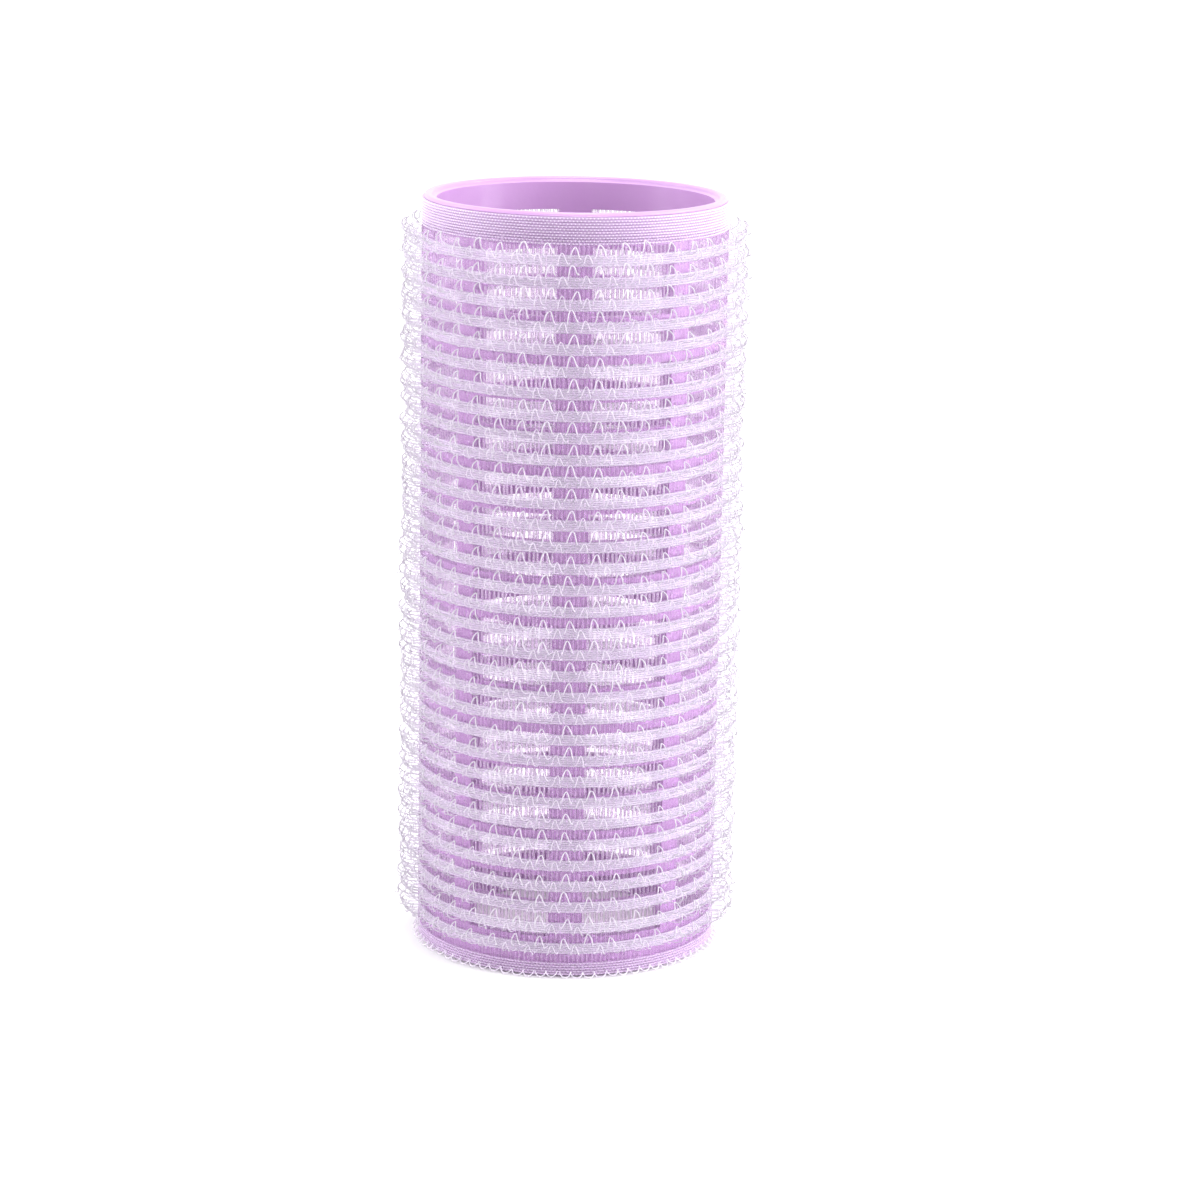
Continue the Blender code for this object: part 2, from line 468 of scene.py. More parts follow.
def make_loop_group():
    """Stand loops of monofilament in a row round the roller."""
    tree, given, result = new_group("Loop Row", "GeometryNodeTree", {
        "Shapes": "Collection", "Radius": 0.02, "Height": 0.0, "Loops": 44,
        "Start": 0.0, "Sweep": math.tau, "Lean": 0.1, "Smallest": 0.9, "Largest": 1.05,
        "Kinds": 3, "Seed": 1, "Material": "Material",
    }, {"Geometry": "Geometry"})
    points, angle = spread_points(tree, given, "Loops")
    angle = maths(tree, "ADD", angle, seeded(
        tree, given, -LOOP_ANGLE_SCATTER, LOOP_ANGLE_SCATTER, DRAW_LOOP_ANGLE))
    height = maths(tree, "ADD", given["Height"], seeded(
        tree, given, -LOOP_HEIGHT_SCATTER, LOOP_HEIGHT_SCATTER, DRAW_LOOP_HEIGHT))
    spots = put(tree, "GeometryNodeSetPosition",
                {"Geometry": points,
                 "Position": on_circle(tree, given["Radius"], angle, height)})
    back = maths(tree, "MULTIPLY", given["Lean"], -1.0)
    leans = [seeded(tree, given, back, given["Lean"], draw) for draw in DRAW_LOOP_LEAN]
    sizes = [seeded(tree, given, given["Smallest"], given["Largest"], draw)
             for draw in DRAW_LOOP_SIZE]
    shapes = put(tree, "GeometryNodeCollectionInfo",
                 {"Collection": given["Shapes"], "Separate Children": True,
                  "Reset Children": True})
    shape = seeded(tree, given, 0, given["Kinds"], DRAW_LOOP_SHAPE, "INT")
    copies = put(tree, "GeometryNodeInstanceOnPoints",
                 {"Points": spots.outputs[0], "Instance": shapes.outputs[0],
                  "Pick Instance": True, "Instance Index": shape,
                  "Rotation": point(tree, *leans, angle), "Scale": point(tree, *sizes)})
    finish_group(tree, copies.outputs[0], given["Material"], result[0])
    return tree


ROW_INPUTS = {
    "Middle": 0.0, "Start": 0.0, "Sweep": math.tau, "Seed": 1, "Band Radius": 0.02,
    "Threads": 5, "Spacing": 0.0003, "Crossings": 282, "Weave": 0.0001, "Width": 0.0002,
    "Band Material": "Material", "Shapes": "Collection", "Root Radius": 0.02,
    "Root Rise": 0.0, "Loops": 44, "Lean": 0.1, "Hook Material": "Material",
}


def make_row_group(band_group, loop_group):
    """Put a woven band, its row of loops and the shorter loops under it together."""
    tree, given, result = new_group("Hook Row", "GeometryNodeTree", ROW_INPUTS,
                                    {"Geometry": "Geometry"})
    band = put(tree, "GeometryNodeGroup",
               {"Radius": given["Band Radius"], "Material": given["Band Material"]},
               node_tree=band_group)
    for name in ("Middle", "Threads", "Spacing", "Crossings", "Weave", "Width",
                 "Start", "Sweep", "Seed"):
        tree.links.new(given[name], band.inputs[name])
    step = maths(tree, "DIVIDE", given["Sweep"], given["Loops"])
    between = maths(tree, "ADD", given["Start"], maths(tree, "DIVIDE", step, 2.0))
    both = tree.nodes.new("GeometryNodeJoinGeometry")
    for side, start, (smallest, largest, apart) in (
            ("ADD", given["Start"], TALL_LOOPS), ("SUBTRACT", between, SHORT_LOOPS)):
        loops = put(tree, "GeometryNodeGroup",
                    {"Height": maths(tree, side, given["Middle"], given["Root Rise"]),
                     "Start": start, "Smallest": smallest, "Largest": largest,
                     "Radius": given["Root Radius"],
                     "Seed": maths(tree, "ADD", given["Seed"], apart),
                     "Material": given["Hook Material"]}, node_tree=loop_group)
        for name in ("Shapes", "Loops", "Sweep", "Lean"):
            tree.links.new(given[name], loops.inputs[name])
        tree.links.new(loops.outputs[0], both.inputs[0])
    tree.links.new(band.outputs[0], both.inputs[0])
    solid = put(tree, "GeometryNodeRealizeInstances", {0: both.outputs[0]})
    tree.links.new(solid.outputs[0], result[0])
    return tree


# --------------------------------------------------------------- materials

def make_grain_group():
    """Shader group: fine grain as a colour change and a height."""
    tree, given, result = new_group("Fine Grain", "ShaderNodeTree", {
        "Colour": (0.8, 0.8, 0.8, 1.0), "Shade": (0.6, 0.6, 0.6, 1.0),
        "Patch Size": 60.0, "Patch Share": 0.2, "Grain Size": 2500.0, "Roughness": 0.4,
        "Roughness Change": 0.1,
    }, {"Colour": "Color", "Roughness": "Float", "Height": "Float"})
    place = tree.nodes.new("ShaderNodeTexCoord").outputs["Object"]
    patch = put(tree, "ShaderNodeTexNoise",
                {"Vector": place, "Scale": given["Patch Size"], "Detail": 2.0})
    grain = put(tree, "ShaderNodeTexNoise",
                {"Vector": place, "Scale": given["Grain Size"], "Detail": 3.0})
    share = maths(tree, "MULTIPLY", patch.outputs["Fac"], given["Patch Share"])
    middle = maths(tree, "SUBTRACT", grain.outputs["Fac"], 0.5)
    rough = add_scaled(tree, given["Roughness"], middle, given["Roughness Change"])
    colour = mixed(tree, share, given["Colour"], given["Shade"])
    tree.links.new(colour, result["Colour"])
    tree.links.new(rough, result["Roughness"])
    tree.links.new(grain.outputs["Fac"], result["Height"])
    return tree


def make_thread_group():
    """Shader group: colour a thread from the weave's bed to its crowns by its distance
    from the roller's axis, with painted shade in the darker of the two colours.
    """
    tree, given, result = new_group("Thread Shade", "ShaderNodeTree", {
        "Bed": (0.6, 0.5, 0.7, 1.0), "Crown": (0.9, 0.8, 0.9, 1.0), "Bed Radius": 20.0,
        "Crown Radius": 20.3, "Bed Cover": 0.3, "Crown Cover": 0.6, "Grain Size": 900.0,
        "Grain Share": 0.3, "Roughness": 0.3, "Roughness Change": 0.2,
    }, {"Colour": "Color", "Roughness": "Float", "Cover": "Float"})
    place = tree.nodes.new("ShaderNodeTexCoord").outputs["Object"]
    across = put(tree, "ShaderNodeVectorMath",
                 {0: place, 1: (1.0 / MM, 1.0 / MM, 0.0)}, operation="MULTIPLY")
    radius = put(tree, "ShaderNodeVectorMath", {0: across.outputs[0]},
                 operation="LENGTH").outputs["Value"]
    grain = put(tree, "ShaderNodeTexNoise",
                {"Vector": place, "Scale": given["Grain Size"], "Detail": 2.0})
    middle = maths(tree, "SUBTRACT", grain.outputs["Fac"], 0.5)
    height = put(tree, "ShaderNodeMapRange",
                 {"Value": radius, "From Min": given["Bed Radius"],
                  "From Max": given["Crown Radius"]}).outputs[0]
    grained = add_scaled(tree, height, middle, given["Grain Share"])
    share = put(tree, "ShaderNodeClamp", {"Value": grained}).outputs[0]
    cover = put(tree, "ShaderNodeMapRange",
                {"Value": share, "To Min": given["Bed Cover"],
                 "To Max": given["Crown Cover"]}).outputs[0]
    rough = add_scaled(tree, given["Roughness"], middle, given["Roughness Change"])
    # Painted shade: the colour follows the distance from the axis. It is darker at the
    # bed for the bands and edges, and darker at the top for the hooks.
    colour = mixed(tree, share, given["Bed"], given["Crown"])
    tree.links.new(colour, result["Colour"])
    tree.links.new(rough, result["Roughness"])
    tree.links.new(cover, result["Cover"])
    return tree


def new_material(name):
    """Make a node material and give it with its tree and its shader."""
    material = bpy.data.materials.new(name)
    material.use_nodes = True
    tree = material.node_tree
    return material, tree, tree.nodes["Principled BSDF"]


def fill(node, values):
    """Fill a node's inputs by name."""
    for key, value in values.items():
        node.inputs[key].default_value = value


def plastic_material():
    """Make the moulded lavender plastic, once."""
    name = "Lavender plastic"
    if name in bpy.data.materials:
        return bpy.data.materials[name]
    finish = settings_of("finish")
    deeper = [0.86 * part for part in finish.plastic]
    material, tree, shader = new_material(name)
    look = put(tree, "ShaderNodeGroup", node_tree=group("Fine Grain", make_grain_group))
    fill(look, {"Colour": (*finish.plastic, 1.0), "Shade": (*deeper, 1.0),
                "Patch Size": 45.0, "Patch Share": 0.35, "Grain Size": 1800.0,
                "Roughness": finish.plastic_roughness, "Roughness Change": 0.12})
    relief = put(tree, "ShaderNodeBump",
                 {"Height": look.outputs["Height"], "Strength": 0.3,
                  "Distance": 0.04 * MM})
    tree.links.new(look.outputs["Colour"], shader.inputs["Base Color"])
    tree.links.new(look.outputs["Roughness"], shader.inputs["Roughness"])
    tree.links.new(relief.outputs[0], shader.inputs["Normal"])
    fill(shader, {"Specular IOR Level": 0.5, "Coat Weight": 0.45,
                  "Coat Roughness": 0.14, "Subsurface Weight": 0.12,
                  "Subsurface Radius": (1.0, 0.7, 1.0), "Subsurface Scale": 1.2 * MM})
    return material


def nylon_material(name, colours, radii, covers, roughness, clear=0.0, bend=1.4,
                   grain_size=900.0, grain_share=0.3):
    """Make nylon thread, from milky (clear 0) to clear (clear 1), once.

    Colours, radii and covers are pairs: in the weave's bed and on its crowns. Where the
    two colours differ, the darker one is painted shade.
    """
    if name in bpy.data.materials:
        return bpy.data.materials[name]
    material, tree, shader = new_material(name)
    colours = [(*colour, 1.0) for colour in colours]
    look = put(tree, "ShaderNodeGroup",
               node_tree=group("Thread Shade", make_thread_group))
    fill(look, {"Bed": colours[0], "Crown": colours[1],
                "Bed Radius": radii[0] / MM, "Crown Radius": radii[1] / MM,
                "Bed Cover": covers[0], "Crown Cover": covers[1],
                "Grain Size": grain_size, "Grain Share": grain_share,
                "Roughness": roughness})
    tree.links.new(look.outputs["Roughness"], shader.inputs["Roughness"])
    for pair, output, socket in ((colours, "Colour", "Base Color"),
                                 (covers, "Cover", "Alpha")):
        if pair[0] == pair[1]:
            shader.inputs[socket].default_value = pair[0]
        else:
            tree.links.new(look.outputs[output], shader.inputs[socket])
    fill(shader, {"Transmission Weight": clear, "IOR": bend})
    return material


def band_material():
    """Make the milky nylon of the woven bands."""
    finish, tape = settings_of("finish"), settings_of("tape")
    radii = (tape.radius - tape.weave, tape.radius + tape.weave + 0.5 * tape.band_width)
    # Painted shade: the band threads are darker and more lavender in the weave's bed
    # than on its crowns.
    return nylon_material(
        "Milky nylon band", (finish.bed, finish.crown), radii,
        (0.9 * finish.band_cover, 1.05 * finish.band_cover), 0.4)


def edge_material():
    """Make the nylon of the dense woven edges."""
    finish, tape = settings_of("finish"), settings_of("tape")
    crest = tape.radius + 0.5 * tape.edge_width
    # Painted shade: only the top 0.09 mm of each crossing keeps the pale crown colour.
    # The rest takes the darker, lavender edge bed colour.
    return nylon_material(
        "Woven nylon edge", (finish.shaded_edge_bed, finish.crown), (crest, crest + 0.09 * MM),
        (0.4, finish.edge_cover + 0.15), 0.35, grain_size=1200.0, grain_share=0.2)


def cross_material():
    """Make the clear nylon of the cross threads."""
    finish, tape = settings_of("finish"), settings_of("tape")
    return nylon_material(
        "Clear nylon thread", (finish.cross_tint, finish.cross_tint),
        (tape.radius, tape.radius + 0.1 * MM), (finish.cross_cover, finish.cross_cover),
        0.25, clear=0.8, bend=1.22)


def hook_material():
    """Make the nylon of the hooks."""
    finish, hook = settings_of("finish"), settings_of("hooks")
    # Painted shade: the hooks are darker towards their tops than at their roots.
    return nylon_material(
        "Clear nylon hook", (finish.hook_root, finish.shaded_hook_tip),
        (hook.root_radius, hook.root_radius + hook.reach),
        (0.6 * finish.hook_cover, finish.hook_cover), 0.25)


# ------------------------------------------------------------------ pieces

NEAR = 0.01 * MM  # points closer than this are one point
RIB_STEPS, WINDOW_STEPS = 4, 12  # wall faces across a rib and across a window
RIM_STEPS = 4  # steps of the rim's rounding
LIP_SLOPE = 0.2 * MM  # height over which the wall widens to the lip
HOOK_STEPS = 11
HOOK_BOW = 2.2  # radians that a hook turns from its root to its top
ARCH_ROUND = 0.3  # share of a round arch in a hook's front view
ROOT_DEPTH = 0.2 * MM  # how far a hook starts inside the tape
CUT_CURL = ((0.12, 0.16, -0.14), (0.34, 0.2, -0.1), (0.46, 0.08, 0.1))
# For each hook template: how far along it is cut (2 is a whole loop), the size of its
# curl in millimetres, and whether it is turned the other way.
HOOK_KINDS = ((1.70, 0.9, False), (1.76, 0.7, True), (1.62, 1.1, False),
              (2.0, 0.0, True))
STUB_CUT = 0.2  # how much of the cut loop's other leg is left
EDGE_LOOP_STEPS = 10
TEMPLATES = ("hook_shapes", "edge_shapes")


def new_object(name, data):
    """Make an object in the scene."""
    piece = bpy.data.objects.new(name, data)
    bpy.context.scene.collection.objects.link(piece)
    return piece


def plain_mesh(piece):
    """Give an object's finished shape as a plain mesh."""
    bpy.context.view_layer.update()
    depsgraph = bpy.context.evaluated_depsgraph_get()
    return bpy.data.meshes.new_from_object(piece.evaluated_get(depsgraph),
                                           depsgraph=depsgraph)


def grow(name, tree, values):
    """Run a geometry group and keep its result as a plain mesh object."""
    piece = new_object(name, bpy.data.meshes.new(name))
    modifier = piece.modifiers.new("Grow", "NODES")
    modifier.node_group = tree
    for item in tree.interface.items_tree:
        if item.in_out == "INPUT" and item.name in values:
            modifier[item.identifier] = values[item.name]
    mesh = plain_mesh(piece)
    if not mesh.polygons:
        raise RuntimeError(f"{name} came out empty")
    mesh.name = name
    piece.modifiers.remove(modifier)
    piece.data = mesh
    return piece


def belongs(piece, slot, *nodes):
    """Attach a finished piece to the roller's body and hide the nodes it stands for."""
    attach(piece, BODY)
    if nodes:
        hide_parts(*nodes)


def rolled_sheet(name, angles, heights, radius, is_open):
    """Roll a flat grid into a cylinder wall, without the faces that are open."""
    columns, rows = len(angles) - 1, len(heights) - 1
    sheet = bmesh.new()
    bmesh.ops.create_grid(sheet, x_segments=columns, y_segments=rows, size=0.5)
    windows = []
    for face in sheet.faces:
        middle = face.calc_center_median()
        column = int((middle.x + 0.5) * columns)
        row = int((middle.y + 0.5) * rows)
        if is_open(column, row):
            windows.append(face)
    for vert in sheet.verts:
        angle = angles[round((vert.co.x + 0.5) * columns)]
        height = heights[round((vert.co.y + 0.5) * rows)]
        vert.co = (radius * math.cos(angle), radius * math.sin(angle), height)
    bmesh.ops.delete(sheet, geom=windows, context="FACES")
    bmesh.ops.remove_doubles(sheet, verts=sheet.verts, dist=NEAR)
    mesh = bpy.data.meshes.new(name)
    sheet.to_mesh(mesh)
    sheet.free()
    return mesh


def cage_grid(cage):
    """Give the cage's column angles and heights, and which lie in windows."""
    angles, open_columns = [], set()
    widths = (cage.narrow_rib, cage.wide_rib)
    for rib in range(cage.ribs):
        middle = math.tau * rib / cage.ribs
        half, next_half = 0.5 * widths[rib % 2 == 0], 0.5 * widths[rib % 2]
        end = middle + math.tau / cage.ribs - next_half
        angles += [middle - half + 2.0 * half * step / RIB_STEPS
                   for step in range(RIB_STEPS)]
        for step in range(WINDOW_STEPS):
            open_columns.add(len(angles))
            angles.append(middle + half + (end - middle - half) * step / WINDOW_STEPS)
    angles.append(angles[0] + math.tau)
    heights, open_rows = [LOWER_END, LOWER_END + cage.lower_ring], {1}
    for hoop in reversed(range(cage.hoops)):
        middle = cage.top_hoop - hoop * cage.hoop_pitch
        heights.append(middle - 0.5 * cage.hoop_height)
        open_rows.add(len(heights))
        heights.append(middle + 0.5 * cage.hoop_height)
    lip = UPPER_END - cage.lip_height
    heights += [UPPER_END - cage.upper_ring, lip - LIP_SLOPE, lip]
    heights += [UPPER_END - cage.rim_round
                * (1.0 - math.sin(0.5 * math.pi * step / RIM_STEPS))
                for step in range(RIM_STEPS + 1)]
    return angles, heights, open_columns, open_rows


def shape_lip(mesh, cage):
    """Widen the wall's top to the lip and round the rim's two edges."""
    lip = UPPER_END - cage.lip_height - NEAR
    for vert in mesh.vertices:
        if vert.co.z < lip:
            continue
        radius = math.hypot(vert.co.x, vert.co.y)
        rise = max(0.0, vert.co.z - UPPER_END + cage.rim_round) / cage.rim_round
        inset = cage.rim_round * (1.0 - math.sqrt(max(0.0, 1.0 - rise * rise)))
        if radius > cage.radius - 0.5 * cage.wall:
            wanted = cage.lip_radius - inset
        else:
            wanted = cage.lip_radius - cage.rim_width + inset
        vert.co.x *= wanted / radius
        vert.co.y *= wanted / radius


def build_cage(cage):
    """Mould the cage with its windows, rounded edges and rim lip."""
    angles, heights, open_columns, open_rows = cage_grid(cage)
    mesh = rolled_sheet("core", angles, heights, cage.radius,
                        lambda column, row: column in open_columns and row in open_rows)
    blank = new_object("core_blank", mesh)
    wall = blank.modifiers.new("Wall", "SOLIDIFY")
    wall.thickness = cage.wall
    wall.offset = -1.0
    wall.use_even_offset = True
    solid = plain_mesh(blank)
    bpy.data.objects.remove(blank, do_unlink=True)
    shape_lip(solid, cage)
    core = new_object("core", solid)
    rounding = core.modifiers.new("Edges", "BEVEL")
    rounding.width = cage.edge_round
    rounding.segments = 2
    rounding.limit_method = "ANGLE"
    rounding.angle_limit = math.radians(32.0)
    rounding.harden_normals = True
    solid.shade_smooth()
    solid.materials.append(plastic_material())
    return core


def hook_path(hook, cut, curl):
    """List the points of one hook: up and over from its root, then cut and curled."""
    points = []
    for step in range(HOOK_STEPS + 1):
        share = cut * step / HOOK_STEPS
        quarter = 0.5 * math.pi * share
        along = math.sin(quarter)
        across = ARCH_ROUND * math.cos(quarter) + (1.0 - ARCH_ROUND) * (1.0 - share)
        rise = (1.0 - math.cos(HOOK_BOW * along)) / (1.0 - math.cos(HOOK_BOW))
        points.append(Vector((hook.reach * math.sin(HOOK_BOW * along),
                              -0.5 * hook.foot * across, hook.rise * rise)))
    if curl:
        end = points[-1]
        points += [end + Vector(step) * curl for step in CUT_CURL]
    points[0].x = -ROOT_DEPTH
    return points


def mirrored(path):
    """Turn a hook's left and right round."""
    return [Vector((point.x, -point.y, point.z)) for point in path]


def filament(name, paths, collection):
    """Make a template of bent monofilament from lists of points."""
    curve = bpy.data.curves.new(name, "CURVE")
    curve.dimensions = "3D"
    curve.bevel_depth = 0.5 * settings_of("hooks").thickness
    curve.bevel_resolution = 0
    curve.use_fill_caps = True
    for path in paths:
        spline = curve.splines.new("POLY")
        spline.points.add(len(path) - 1)
        for point, place in zip(spline.points, path):
            point.co = (*place, 1.0)
    wire = new_object(name + "_wire", curve)
    mesh = plain_mesh(wire)
    bpy.data.objects.remove(wire, do_unlink=True)
    mesh.shade_smooth()
    collection.objects.link(bpy.data.objects.new(name, mesh))


def fill_hook_shapes(shapes):
    """Make the four hook templates: three cut open and curled, and a whole loop."""
    hook = settings_of("hooks")
    stub = mirrored(hook_path(hook, STUB_CUT, 0.0)[::3])
    for number, (cut, curl, turned) in enumerate(HOOK_KINDS):
        paths = [hook_path(hook, cut, curl * MM)]
        if cut < 2.0:
            paths.append(stub)
        if turned:
            paths = [mirrored(path) for path in paths]
        filament(f"hook_{number}", paths, shapes)


def fill_edge_shapes(shapes):
    """Make the template of the lower edge's small round loop."""
    width, drop, out = 1.55 * MM, 0.62 * MM, 0.55 * MM
    path = []
    for step in range(EDGE_LOOP_STEPS + 1):
        share = step / EDGE_LOOP_STEPS
        down = math.sin(math.pi * share) ** 0.7
        path.append(Vector((out * down, width * (share - 0.5) * (1.0 + 0.25 * down),
                            -drop * down)))
    filament("edge_loop", [path], shapes)


def templates(name, maker):
    """Find a collection of templates by name, or make and fill it."""
    shapes = bpy.data.collections.get(name)
    if shapes is None:
        shapes = bpy.data.collections.new(name)
        bpy.context.scene.collection.children.link(shapes)
        maker(shapes)
    return shapes


def drop_templates():
    """Remove the templates once every row has been grown."""
    for name in TEMPLATES:
        shapes = bpy.data.collections[name]
        for shape in list(shapes.objects):
            bpy.data.objects.remove(shape, do_unlink=True)
        bpy.data.collections.remove(shapes)


# --------------------------------------------------------- the tape's values

EDGE_CROSSINGS = 526  # weave crossings round a dense edge
SEAM_CROSSINGS = 18  # crossings of a band that the lap seam takes up
SEAM_LOOPS = 2  # loops of a row that the lap seam takes up
SEAM_THREADS = 9  # cross threads in the lap seam
SEAM_LIFT = 0.55 * MM  # how far the lapped end lies over the tape
SEAM_CLEARANCE = 0.6 * MM
TAPE_FOOT = 0.6 * MM  # height at which the cross threads start
CROSS_WEAVE = -0.6  # the cross threads' swing, as a share of the bands'
UPPER_WEAVE, LOWER_WEAVE = 4.0, 3.0  # the dense edges' swing, likewise
UPPER_RISE = 0.15 * MM  # how far the upper edge's weave passes its node
LOWER_RISE = 0.1 * MM  # how far the lower edge's weave is raised
LOWER_THREADS = 5
EDGE_LOOPS, EDGE_LOOP_HEIGHT = 80, 0.8 * MM
GROUND_SEED, SEAM_SEED, UPPER_SEED, LOWER_SEED, EDGE_LOOP_SEED = 3, 4, 5, 6, 91


def seam_gap():
    """Give half the angle that the lap seam takes out of the hook rows."""
    tape = settings_of("tape")
    return 0.5 * (tape.lap_width + SEAM_CLEARANCE) / tape.radius


def row_values(middle, seed):
    """Give the inputs of one hook row."""
    tape, hook = settings_of("tape"), settings_of("hooks")
    gap = seam_gap()
    return {
        "Middle": middle, "Start": BACK + gap, "Sweep": math.tau - 2.0 * gap,
        "Seed": seed, "Band Radius": tape.radius, "Threads": tape.band_threads,
        "Spacing": tape.band_spacing, "Weave": tape.weave, "Width": tape.band_width,
        "Crossings": 2 * tape.cross_threads - SEAM_CROSSINGS,
        "Band Material": band_material(),
        "Shapes": templates("hook_shapes", fill_hook_shapes),
        "Root Radius": hook.root_radius, "Root Rise": hook.root_rise,
        "Loops": hook.per_row - SEAM_LOOPS, "Lean": hook.lean,
        "Hook Material": hook_material(),
    }


def row_group():
    """Find or make the hook row's node group."""
    return group("Hook Row", make_row_group, group("Woven Band", make_band_group),
                 group("Loop Row", make_loop_group))


def cross_threads(name, values):
    """Grow threads that run along the roller, from the foot of the tape up."""
    tape = settings_of("tape")
    return grow(name, group("Cross Threads", make_cross_group), {
        "Bottom": TAPE_FOOT, "First": ROW_HEIGHTS[-1] - 1.5 * ROW_PITCH,
        "Half Pitch": 0.5 * ROW_PITCH, "Steps": 2 * len(ROW_HEIGHTS) + 3,
        "Weave": CROSS_WEAVE * tape.weave, "Width": tape.cross_width,
        "Material": cross_material(), **values})


def dense_edge(name, values):
    """Grow one of the tape's dense edges, woven right round."""
    tape = settings_of("tape")
    return grow(name, group("Woven Band", make_band_group), {
        "Radius": tape.radius, "Spacing": tape.edge_spacing, "Width": tape.edge_width,
        "Crossings": EDGE_CROSSINGS, "Start": BACK, "Sweep": math.tau,
        "Material": edge_material(), **values})


def declare_tape():
    """Read the tape's settings."""
    tape = settings_of("tape")


# ------------------------------------------------------------------- stage

FLOOR_SIZE, FLOOR_DROP = 6.0, 0.1 * MM
FLOOR_GREY = 0.74
LAMP_AIM = (0.0, 0.0, 0.05)
# Each lamp's name, place, size and the setting that holds its power.
LAMPS = (("Right light", (0.6, -0.12, 0.22), 0.5, "right_light"),
         ("Left light", (-0.6, -0.05, 0.22), 0.5, "left_light"),
         ("Top light", (0.0, 0.0, 0.6), 0.2, "top_light"))


def add_camera(stage):
    """Place the camera in front of the roller."""
    data = bpy.data.cameras.new("Camera")
    data.sensor_width = 36.0
    data.lens = stage.lens
    data.clip_start = 0.01
    camera = new_object("Camera", data)
    turn = Matrix.Rotation(-stage.turn, 4, "Z")
    pitch = Matrix.Rotation(0.5 * math.pi - stage.pitch, 4, "X")
    roll = Matrix.Rotation(stage.roll, 4, "Z")
    camera.matrix_world = (Matrix.Translation((0.0, -stage.distance, stage.height))
                           @ turn @ pitch @ roll)
    bpy.context.scene.camera = camera


def add_floor():
    """Lay a plain pale floor."""
    bpy.ops.mesh.primitive_plane_add(size=FLOOR_SIZE, location=(0.0, 0.0, -FLOOR_DROP))
    floor = bpy.context.object
    floor.name = "stage_floor"
    material, _, shader = new_material("Pale floor")
    fill(shader, {"Base Color": (FLOOR_GREY, FLOOR_GREY, FLOOR_GREY, 1.0),
                  "Roughness": 0.9, "Specular IOR Level": 0.1})
    floor.data.materials.append(material)


def add_room_light(stage):
    """Light the room evenly in white."""
    world = bpy.data.worlds.new("Room")
    bpy.context.scene.world = world
    world.use_nodes = True
    fill(world.node_tree.nodes["Background"],
         {"Color": (1.0, 1.0, 1.0, 1.0), "Strength": stage.room_light})


def add_lamp(name, place, size, power):
    """Hang a square soft light that faces the roller."""
    data = bpy.data.lights.new(name, "AREA")
    data.size = size
    data.energy = power
    lamp = new_object(name, data)
    lamp.location = place
    aim = Vector(LAMP_AIM) - Vector(place)
    lamp.rotation_euler = aim.to_track_quat("-Z", "Y").to_euler()


# --------------------------------------------------------------- operators

class ROLLER_OT_core(bpy.types.Operator):
    """Build the moulded plastic cage"""

    bl_idname = "roller.core"
    bl_label = "Moulded Core"

    def execute(self, context):
        belongs(build_cage(context.scene.roller_cage), "lavender_plastic", "core_cage")
        return {"FINISHED"}


class ROLLER_OT_ground(bpy.types.Operator):
    """Lay the tape's threads that run along the roller"""

    bl_idname = "roller.ground"
    bl_label = "Tape Ground"

    def execute(self, context):
        tape = context.scene.roller_tape
        ground = cross_threads(TAPE, {
            "Radius": tape.radius, "Top": node_span("upper_edge")[1],
            "Threads": tape.cross_threads, "Wander": 0.004,
            "Seed": GROUND_SEED})
        belongs(ground, "clear_nylon_ground", "tape_ground")
        return {"FINISHED"}


class ROLLER_OT_edges(bpy.types.Operator):
    """Weave the tape's two dense edges"""

    bl_idname = "roller.edges"
    bl_label = "Woven Edges"

    def execute(self, context):
        tape, hook = context.scene.roller_tape, context.scene.roller_hooks
        low, high = node_span("upper_edge")
        high += UPPER_RISE
        upper = dense_edge("tape_upper_edge", {
            "Middle": 0.5 * (low + high), "Weave": UPPER_WEAVE * tape.weave,
            "Threads": int((high - low) / tape.edge_spacing) + 1,
            "Seed": UPPER_SEED})
        belongs(upper, "woven_edge", "upper_edge")
        lower = dense_edge("tape_lower_edge", {
            "Middle": node_middle("lower_edge") + LOWER_RISE,
            "Weave": LOWER_WEAVE * tape.weave, "Threads": LOWER_THREADS,
            "Seed": LOWER_SEED})
        belongs(lower, "woven_edge", "lower_edge")
        loops = grow("tape_edge_loops", group("Loop Row", make_loop_group), {
            "Shapes": templates("edge_shapes", fill_edge_shapes),
            "Radius": hook.root_radius, "Height": EDGE_LOOP_HEIGHT,
            "Loops": EDGE_LOOPS, "Start": BACK, "Sweep": math.tau, "Lean": 0.1,
            "Smallest": 0.9, "Largest": 1.1, "Kinds": 0, "Seed": EDGE_LOOP_SEED,
            "Material": hook_material()})
        belongs(loops, "woven_edge")
        return {"FINISHED"}


class ROLLER_OT_hook_rows(bpy.types.Operator):
    """Weave the bands and stand their rows of hooks on them"""

    bl_idname = "roller.hook_rows"
    bl_label = "Hook Rows"

    def execute(self, context):
        seed = context.scene.roller_hooks.seed
        for number, (node, middle) in enumerate(zip(HOOK_NODES, ROW_HEIGHTS)):
            row = grow("woven_" + node, row_group(), row_values(middle, seed + number))
            belongs(row, "nylon_hooks", node)
        return {"FINISHED"}


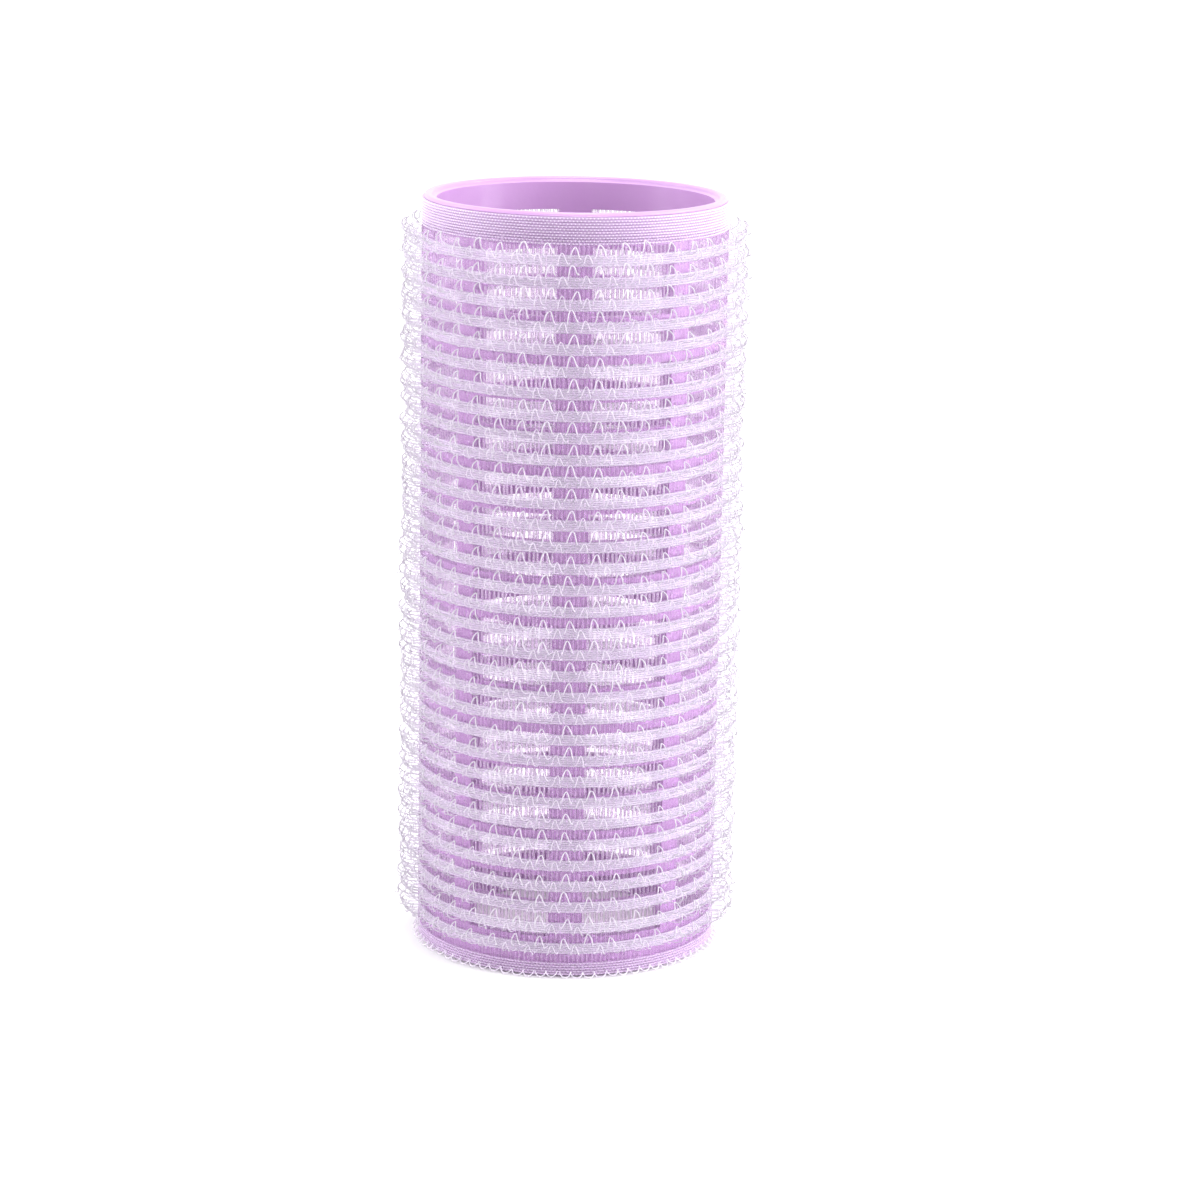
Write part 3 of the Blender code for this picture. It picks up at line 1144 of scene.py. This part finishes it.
class ROLLER_OT_seam(bpy.types.Operator):
    """Lay the tape's overlapped end up the back"""

    bl_idname = "roller.seam"
    bl_label = "Lap Seam"

    def execute(self, context):
        tape = context.scene.roller_tape
        gap = seam_gap()
        place = {"Radius": tape.radius + SEAM_LIFT, "Start": BACK - gap,
                 "Sweep": 2.0 * gap}
        seam = cross_threads("tape_lap_seam", {
            **place, "Top": node_span("lap_seam")[1], "Threads": SEAM_THREADS,
            "Wander": 0.003, "Seed": SEAM_SEED})
        parts = [seam]
        for number, middle in enumerate(ROW_HEIGHTS):
            parts.append(grow(f"lap_{number}", group("Woven Band", make_band_group), {
                **place, "Middle": middle, "Threads": tape.band_threads,
                "Spacing": tape.band_spacing, "Crossings": SEAM_CROSSINGS,
                "Weave": tape.weave, "Width": tape.band_width, "Seed": number,
                "Material": band_material()}))
        context.view_layer.objects.active = seam
        with context.temp_override(active_object=seam, selected_editable_objects=parts):
            bpy.ops.object.join()
        belongs(seam, "woven_edge", "lap_seam")
        return {"FINISHED"}


class ROLLER_OT_stage(bpy.types.Operator):
    """Set up the camera, the floor and the light"""

    bl_idname = "roller.stage"
    bl_label = "Stage"

    def execute(self, context):
        stage = context.scene.roller_stage
        add_camera(stage)
        add_floor()
        add_room_light(stage)
        for name, place, size, setting in LAMPS:
            add_lamp(name, place, size, getattr(stage, setting))
        return {"FINISHED"}


class ROLLER_PT_panel(bpy.types.Panel):
    """Panel that lists the roller's pieces and settings"""

    bl_label = "Hair Roller"
    bl_space_type = "VIEW_3D"
    bl_region_type = "UI"
    bl_category = "Roller"

    def draw(self, context):
        for operator in OPERATORS:
            self.layout.operator(operator.bl_idname)
        for name, settings in SETTINGS:
            box = self.layout.box()
            box.label(text=settings.__doc__)
            for key in settings.__annotations__:
                box.prop(getattr(context.scene, name), key)


SETTINGS = (
    ("roller_cage", CageSettings), ("roller_tape", TapeSettings),
    ("roller_hooks", HookSettings), ("roller_finish", FinishSettings),
    ("roller_stage", StageSettings),
)
OPERATORS = (ROLLER_OT_core, ROLLER_OT_ground, ROLLER_OT_edges, ROLLER_OT_hook_rows,
             ROLLER_OT_seam, ROLLER_OT_stage)


def register():
    """Register the settings, operators and panel."""
    for name, settings in SETTINGS:
        bpy.utils.register_class(settings)
        setattr(bpy.types.Scene, name, bpy.props.PointerProperty(type=settings))
    for operator in OPERATORS:
        bpy.utils.register_class(operator)
    bpy.utils.register_class(ROLLER_PT_panel)


def unregister():
    """Take everything away again."""
    bpy.utils.unregister_class(ROLLER_PT_panel)
    for operator in reversed(OPERATORS):
        bpy.utils.unregister_class(operator)
    for name, settings in reversed(SETTINGS):
        delattr(bpy.types.Scene, name)
        bpy.utils.unregister_class(settings)


def main():
    """Build the roller and its stage."""
    register()
    bpy.ops.roller.core()
    bpy.ops.roller.ground()
    bpy.ops.roller.edges()
    bpy.ops.roller.hook_rows()
    bpy.ops.roller.seam()
    drop_templates()
    declare_tape()
    bpy.ops.roller.stage()
    bpy.context.scene.view_settings.view_transform = "Standard"


if __name__ == "__main__":
    main()
